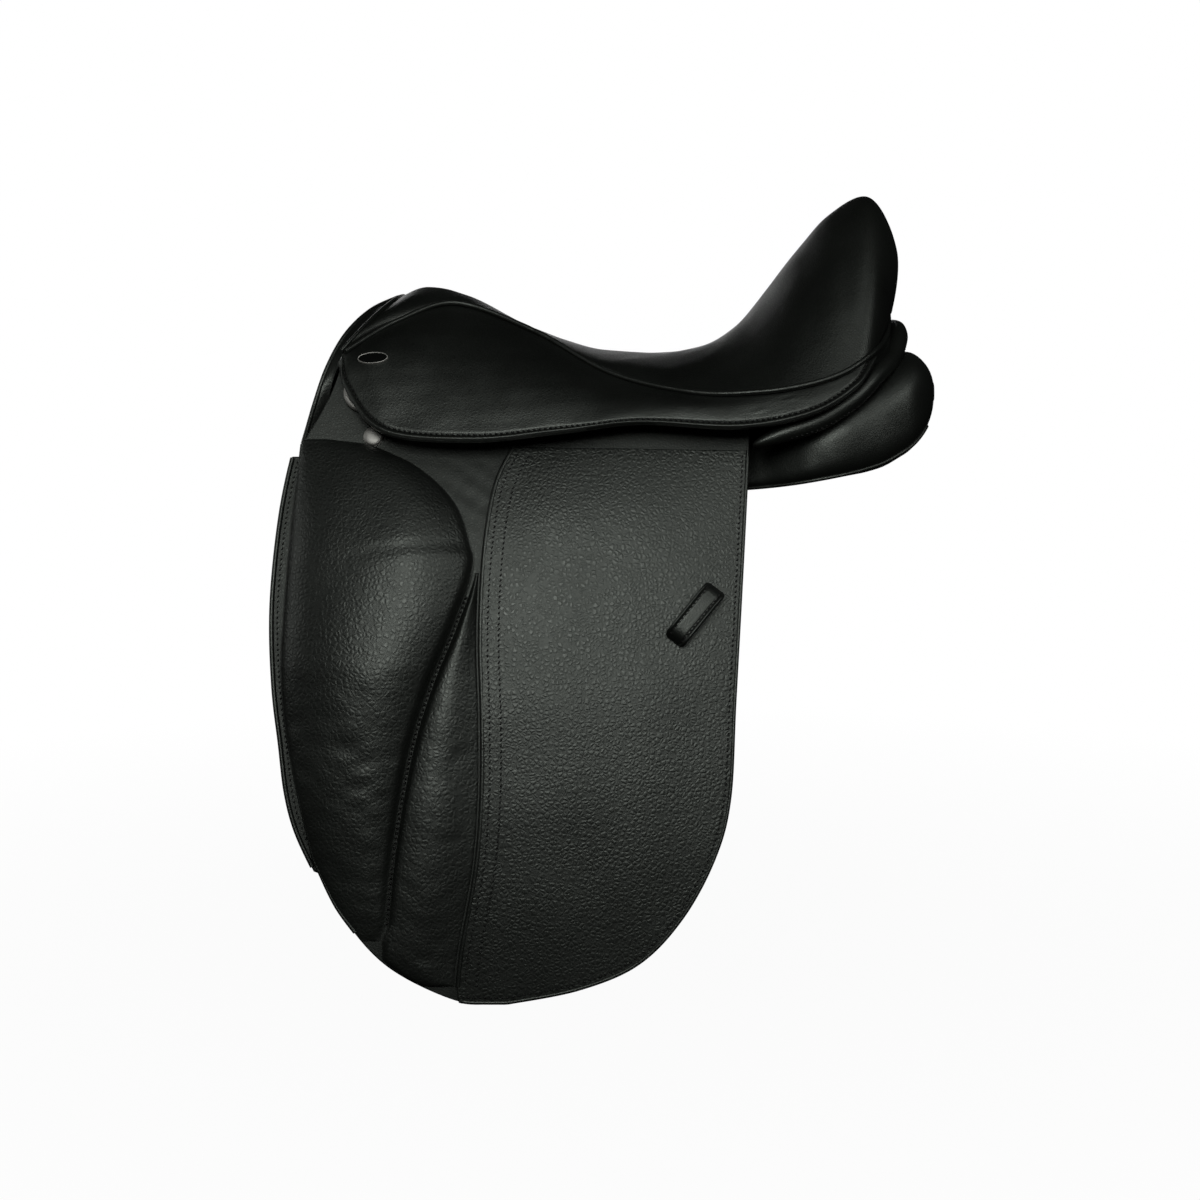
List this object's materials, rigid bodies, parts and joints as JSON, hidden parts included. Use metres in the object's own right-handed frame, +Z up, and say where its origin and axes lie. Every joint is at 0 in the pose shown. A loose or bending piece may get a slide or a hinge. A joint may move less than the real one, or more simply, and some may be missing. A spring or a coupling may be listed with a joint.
{
  "type": "dressage saddle",
  "caption": "Black leather dressage saddle with deep seat, straight flaps, thigh blocks, lifting skirts, stirrup bars, dees and girth straps.",
  "frame": {"origin": "on the centre plane, level with the panels' rear underside, about under the middle of the seat", "axes": "+Z up, +X towards the cantle, -Y the near (left) side"},
  "size_m": [0.5, 0.4642, 0.5912],
  "materials": {
    "black_leather": "smooth dyed calf leather, satin",
    "grained_leather": "pebble-grained cowhide, satin",
    "lining_leather": "soft lining leather, matt",
    "foam": "cut seat foam",
    "webbing": "woven nylon webbing",
    "tree_wood": "laminated beech",
    "forged_steel": "forged and plated steel",
    "nickel": "polished nickel plate"
  },
  "bodies": {
    "root": {"tree_head": "tree_wood", "head_plate": "forged_steel", "gullet_plate": "forged_steel", "tree_rails": "tree_wood", "left_spring": "forged_steel", "right_spring": "forged_steel", "head_rivets": "forged_steel", "seat_webs": "webbing", "seat_foam": "foam", "seat_cover": "black_leather", "left_welt": "black_leather", "right_welt": "black_leather", "head_facing": "black_leather", "gullet_lining": "lining_leather", "cantle_roll": "black_leather", "left_panel": "black_leather", "right_panel": "black_leather", "left_sweat_flap": "lining_leather", "right_sweat_flap": "lining_leather", "left_point_pocket": "lining_leather", "right_point_pocket": "lining_leather", "left_flap_root": "black_leather", "right_flap_root": "black_leather", "left_flap_stud": "nickel", "right_flap_stud": "nickel", "left_skirt_top": "black_leather", "right_skirt_top": "black_leather", "left_skirt_button": "nickel", "right_skirt_button": "nickel", "left_stirrup_bar": "forged_steel", "right_stirrup_bar": "forged_steel", "bar_rivets": "forged_steel", "left_catch_pin": "forged_steel", "right_catch_pin": "forged_steel", "left_dee_chape": "black_leather", "right_dee_chape": "black_leather", "front_billet_web": "webbing", "rear_billet_web": "webbing"},
    "left_flap": {"left_flap": "black_leather", "left_flap_overlay": "grained_leather", "left_thigh_block": "black_leather", "left_block_wedge": "black_leather", "left_keeper": "black_leather"},
    "left_skirt": {"left_skirt": "black_leather"},
    "left_bar_catch": {"left_bar_catch": "nickel"},
    "left_dee": {"left_dee": "nickel"},
    "left_front_billet": {"left_front_billet": "black_leather"},
    "left_rear_billet": {"left_rear_billet": "black_leather"},
    "right_flap": {"right_flap": "black_leather", "right_flap_overlay": "grained_leather", "right_thigh_block": "black_leather", "right_block_wedge": "black_leather", "right_keeper": "black_leather"},
    "right_skirt": {"right_skirt": "black_leather"},
    "right_bar_catch": {"right_bar_catch": "nickel"},
    "right_dee": {"right_dee": "nickel"},
    "right_front_billet": {"right_front_billet": "black_leather"},
    "right_rear_billet": {"right_rear_billet": "black_leather"}
  },
  "joints": [
    {"name": "left_flap_lift", "type": "hinge", "parent": "root", "child": "left_flap", "pos_m": [0, -0.14461, 0.0435], "axis": [-1, 0, 0], "range_deg": [0, 80]},
    {"name": "right_flap_lift", "type": "hinge", "parent": "root", "child": "right_flap", "pos_m": [0, 0.14461, 0.0435], "axis": [1, 0, 0], "range_deg": [0, 80]},
    {"name": "left_skirt_lift", "type": "hinge", "parent": "root", "child": "left_skirt", "pos_m": [-0.09435, -0.14199, 0.08494], "axis": [-0.9695, 0.1522, 0.1922], "range_deg": [0, 55]},
    {"name": "right_skirt_lift", "type": "hinge", "parent": "root", "child": "right_skirt", "pos_m": [-0.09435, 0.14199, 0.08494], "axis": [0.9695, 0.1522, -0.1922], "range_deg": [0, 55]},
    {"name": "left_catch_turn", "type": "hinge", "parent": "root", "child": "left_bar_catch", "pos_m": [-0.064, -0.11374, 0.07], "axis": [0, -0.9215, 0.3884], "range_deg": [0, 80]},
    {"name": "right_catch_turn", "type": "hinge", "parent": "root", "child": "right_bar_catch", "pos_m": [-0.064, 0.11374, 0.07], "axis": [0, -0.9215, -0.3884], "range_deg": [0, 80]},
    {"name": "left_dee_swing", "type": "hinge", "parent": "root", "child": "left_dee", "pos_m": [-0.171, -0.11092, 0.08776], "axis": [-0.6018, 0.319, 0.7322], "range_deg": [0, 14]},
    {"name": "right_dee_swing", "type": "hinge", "parent": "root", "child": "right_dee", "pos_m": [-0.171, 0.11092, 0.08776], "axis": [0.6018, 0.319, -0.7322], "range_deg": [0, 14]},
    {"name": "left_front_billet_swing", "type": "hinge", "parent": "root", "child": "left_front_billet", "pos_m": [-0.018, -0.12991, 0.03], "axis": [0, -0.9326, 0.3608], "range_deg": [-5, 5]},
    {"name": "right_front_billet_swing", "type": "hinge", "parent": "root", "child": "right_front_billet", "pos_m": [-0.018, 0.12991, 0.03], "axis": [0, -0.9326, -0.3608], "range_deg": [-5, 5]},
    {"name": "left_rear_billet_swing", "type": "hinge", "parent": "root", "child": "left_rear_billet", "pos_m": [0.048, -0.12991, 0.03], "axis": [0, -0.9326, 0.3608], "range_deg": [-5, 5]},
    {"name": "right_rear_billet_swing", "type": "hinge", "parent": "root", "child": "right_rear_billet", "pos_m": [0.048, 0.12991, 0.03], "axis": [0, -0.9326, -0.3608], "range_deg": [-5, 5]}
  ]
}
